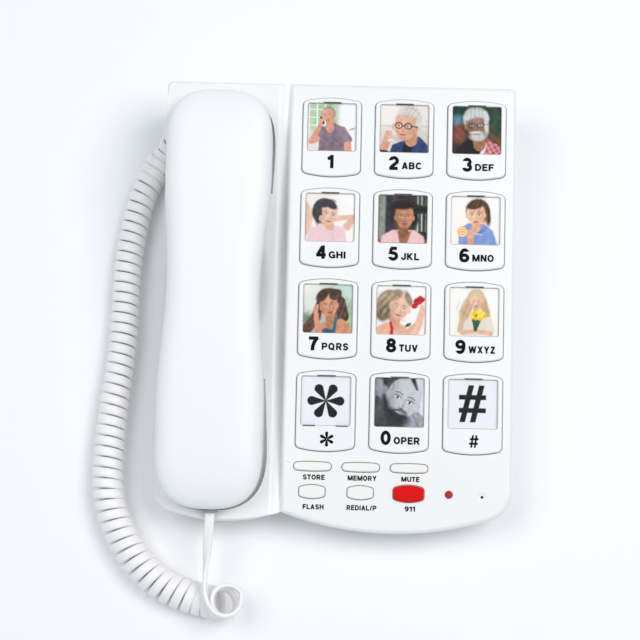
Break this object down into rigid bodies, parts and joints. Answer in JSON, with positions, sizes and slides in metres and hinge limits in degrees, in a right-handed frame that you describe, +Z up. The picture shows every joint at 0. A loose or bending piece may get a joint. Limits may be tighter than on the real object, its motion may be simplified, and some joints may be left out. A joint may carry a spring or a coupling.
{
  "type": "big-button picture telephone",
  "caption": "White desk telephone with sloping picture-key panel, small function keys, left-hand cradle, lift-off handset and curly cord.",
  "frame": {"origin": "middle of the footprint on the surface it stands on, without the cord", "axes": "+Z up, +Y to the back (high) edge of the sloping deck, +X to the right as the user faces it"},
  "size_m": [0.2107, 0.2684, 0.0693],
  "materials": {
    "case_white": "satin moulded ABS, warm white",
    "pan_white": "fine spark texture, warm white",
    "foot_rubber": "matt",
    "screw_steel": "zinc plated",
    "key_white": "satin moulded ABS",
    "picture_card": "printed card under a clear cover",
    "clear_cover": "clear polystyrene, glossy",
    "small_key_white": "satin",
    "emergency_red": "satin red",
    "lamp_red": "translucent red lens",
    "silicone_grey": "silicone",
    "board_green": "solder mask",
    "plunger_white": "acetal",
    "switch_black": "moulded",
    "sounder_brass": "thin disc",
    "jack_white": "moulded",
    "handset_white": "satin moulded ABS, slightly cooler white",
    "capsule_grey": "can",
    "weight_steel": "plain bar",
    "plug_clear": "clear polycarbonate",
    "cord_white": "PVC flat cord, warm light grey-white",
    "print_ink": "black pad-printed lettering"
  },
  "bodies": {
    "root": {"upper_case": "case_white", "base_pan": "pan_white", "rubber_feet": "foot_rubber", "case_screws": "screw_steel", "indicator_lamp": "lamp_red", "keypad_mat": "silicone_grey", "circuit_board": "board_green", "board_screws": "screw_steel", "hook_spring": "screw_steel", "hook_switch": "switch_black", "ringer": "sounder_brass", "line_jack": "jack_white", "handset_port": "jack_white", "switch_bodies": "switch_black", "base_plug": "plug_clear", "handset_cord_tail": "cord_white", "base_cord_tail": "cord_white", "handset_cord_coil": "cord_white"},
    "picture_key_1": {"key_1": "key_white", "picture_1": "picture_card"},
    "picture_key_2": {"key_2": "key_white", "picture_2": "picture_card"},
    "picture_key_3": {"key_3": "key_white", "picture_3": "picture_card"},
    "picture_key_4": {"key_4": "key_white", "picture_4": "picture_card"},
    "picture_key_5": {"key_5": "key_white", "picture_5": "picture_card"},
    "picture_key_6": {"key_6": "key_white", "picture_6": "picture_card"},
    "picture_key_7": {"key_7": "key_white", "picture_7": "picture_card"},
    "picture_key_8": {"key_8": "key_white", "picture_8": "picture_card"},
    "picture_key_9": {"key_9": "key_white", "picture_9": "picture_card"},
    "picture_key_star": {"key_star": "key_white", "picture_star": "picture_card"},
    "picture_key_0": {"key_0": "key_white", "picture_0": "picture_card"},
    "picture_key_hash": {"key_hash": "key_white", "picture_hash": "picture_card"},
    "store_button": {"store_key": "small_key_white"},
    "memory_button": {"memory_key": "small_key_white"},
    "mute_button": {"mute_key": "small_key_white"},
    "flash_button": {"flash_key": "small_key_white"},
    "redial_button": {"redial_key": "small_key_white"},
    "emergency_button": {"emergency_key": "emergency_red"},
    "handset": {"handset_back_shell": "handset_white", "handset_front_shell": "handset_white", "receiver_capsule": "capsule_grey", "microphone_capsule": "capsule_grey", "handset_weight": "weight_steel", "handset_jack": "jack_white", "handset_screws": "screw_steel", "handset_plug": "plug_clear"},
    "hook_button": {"hook_plunger": "plunger_white"},
    "ringer_knob": {"ringer_switch": "plunger_white"},
    "dial_knob": {"dial_switch": "plunger_white"}
  },
  "joints": [
    {"name": "key_1_press", "type": "slide", "parent": "root", "child": "picture_key_1", "axis": [0, -0.1132, 0.9936], "range_m": [-0.0015, 0], "stiffness_N_per_m": 300, "springref_m": 0.0025},
    {"name": "key_2_press", "type": "slide", "parent": "root", "child": "picture_key_2", "axis": [0, -0.1132, 0.9936], "range_m": [-0.0015, 0], "stiffness_N_per_m": 300, "springref_m": 0.0025},
    {"name": "key_3_press", "type": "slide", "parent": "root", "child": "picture_key_3", "axis": [0, -0.1132, 0.9936], "range_m": [-0.0015, 0], "stiffness_N_per_m": 300, "springref_m": 0.0025},
    {"name": "key_4_press", "type": "slide", "parent": "root", "child": "picture_key_4", "axis": [0, -0.1132, 0.9936], "range_m": [-0.0015, 0], "stiffness_N_per_m": 300, "springref_m": 0.0025},
    {"name": "key_5_press", "type": "slide", "parent": "root", "child": "picture_key_5", "axis": [0, -0.1132, 0.9936], "range_m": [-0.0015, 0], "stiffness_N_per_m": 300, "springref_m": 0.0025},
    {"name": "key_6_press", "type": "slide", "parent": "root", "child": "picture_key_6", "axis": [0, -0.1132, 0.9936], "range_m": [-0.0015, 0], "stiffness_N_per_m": 300, "springref_m": 0.0025},
    {"name": "key_7_press", "type": "slide", "parent": "root", "child": "picture_key_7", "axis": [0, -0.1132, 0.9936], "range_m": [-0.0015, 0], "stiffness_N_per_m": 300, "springref_m": 0.0025},
    {"name": "key_8_press", "type": "slide", "parent": "root", "child": "picture_key_8", "axis": [0, -0.1132, 0.9936], "range_m": [-0.0015, 0], "stiffness_N_per_m": 300, "springref_m": 0.0025},
    {"name": "key_9_press", "type": "slide", "parent": "root", "child": "picture_key_9", "axis": [0, -0.1132, 0.9936], "range_m": [-0.0015, 0], "stiffness_N_per_m": 300, "springref_m": 0.0025},
    {"name": "key_star_press", "type": "slide", "parent": "root", "child": "picture_key_star", "axis": [0, -0.1132, 0.9936], "range_m": [-0.0015, 0], "stiffness_N_per_m": 300, "springref_m": 0.0025},
    {"name": "key_0_press", "type": "slide", "parent": "root", "child": "picture_key_0", "axis": [0, -0.1132, 0.9936], "range_m": [-0.0015, 0], "stiffness_N_per_m": 300, "springref_m": 0.0025},
    {"name": "key_hash_press", "type": "slide", "parent": "root", "child": "picture_key_hash", "axis": [0, -0.1132, 0.9936], "range_m": [-0.0015, 0], "stiffness_N_per_m": 300, "springref_m": 0.0025},
    {"name": "store_press", "type": "slide", "parent": "root", "child": "store_button", "axis": [0, -0.1132, 0.9936], "range_m": [-0.0015, 0], "stiffness_N_per_m": 250, "springref_m": 0.0025},
    {"name": "memory_press", "type": "slide", "parent": "root", "child": "memory_button", "axis": [0, -0.1132, 0.9936], "range_m": [-0.0015, 0], "stiffness_N_per_m": 250, "springref_m": 0.0025},
    {"name": "mute_press", "type": "slide", "parent": "root", "child": "mute_button", "axis": [0, -0.1132, 0.9936], "range_m": [-0.0015, 0], "stiffness_N_per_m": 250, "springref_m": 0.0025},
    {"name": "flash_press", "type": "slide", "parent": "root", "child": "flash_button", "axis": [0, -0.1132, 0.9936], "range_m": [-0.0015, 0], "stiffness_N_per_m": 250, "springref_m": 0.0025},
    {"name": "redial_press", "type": "slide", "parent": "root", "child": "redial_button", "axis": [0, -0.1132, 0.9936], "range_m": [-0.0015, 0], "stiffness_N_per_m": 250, "springref_m": 0.0025},
    {"name": "emergency_press", "type": "slide", "parent": "root", "child": "emergency_button", "axis": [0, -0.1132, 0.9936], "range_m": [-0.0015, 0], "stiffness_N_per_m": 250, "springref_m": 0.0025},
    {"name": "handset_lift", "type": "slide", "parent": "root", "child": "handset", "axis": [0, -0.1132, 0.9936], "range_m": [0, 0.07]},
    {"name": "hook_rise", "type": "slide", "parent": "root", "child": "hook_button", "axis": [0, -0.1132, 0.9936], "range_m": [0, 0.004]},
    {"name": "ringer_slide", "type": "slide", "parent": "root", "child": "ringer_knob", "axis": [1, 0, 0], "range_m": [-0.002, 0.002]},
    {"name": "dial_mode_slide", "type": "slide", "parent": "root", "child": "dial_knob", "axis": [1, 0, 0], "range_m": [-0.002, 0.002]}
  ],
  "couplings": [
    {"joint": "hook_rise", "follows": "handset_lift", "ratio": 0.057}
  ]
}
